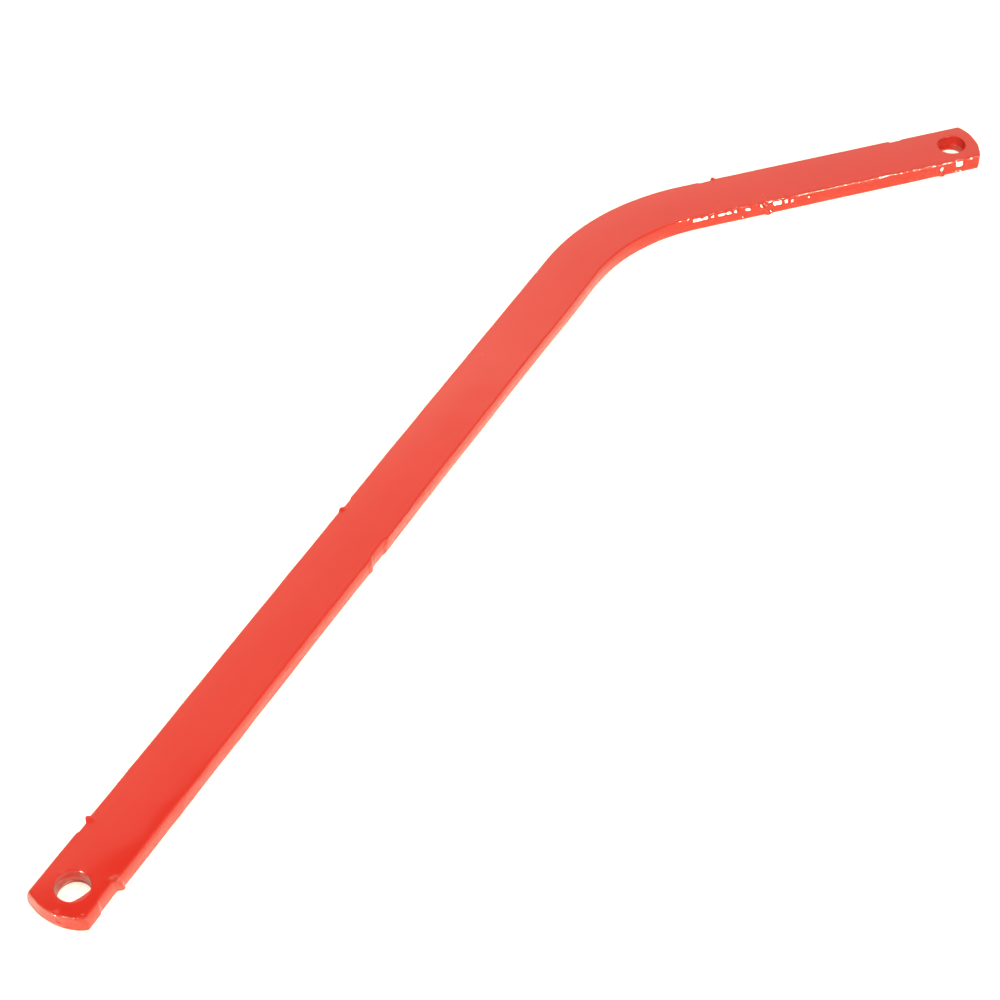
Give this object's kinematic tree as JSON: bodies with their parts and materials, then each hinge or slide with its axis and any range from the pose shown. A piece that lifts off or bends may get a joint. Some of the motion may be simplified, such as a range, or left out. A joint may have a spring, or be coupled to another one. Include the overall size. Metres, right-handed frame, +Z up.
{
  "type": "tow link bar",
  "caption": "Flat steel bar, bent on edge towards one end, with a round pin hole through each crowned end, for pinning a tow link between two fittings.",
  "frame": {"origin": "centre of the hole in the long leg's end, on the bar's underside", "axes": "+X along the long leg towards the bend, +Z up through the bar's thickness; the short leg turns towards -Y"},
  "size_m": [0.7583, 0.1923, 0.0095],
  "materials": {
    "red_paint": "glossy bright red enamel on steel, thick, with fine orange peel and a few dust nibs"
  },
  "bodies": {
    "root": {"bar": "red_paint"}
  },
  "joints": []
}
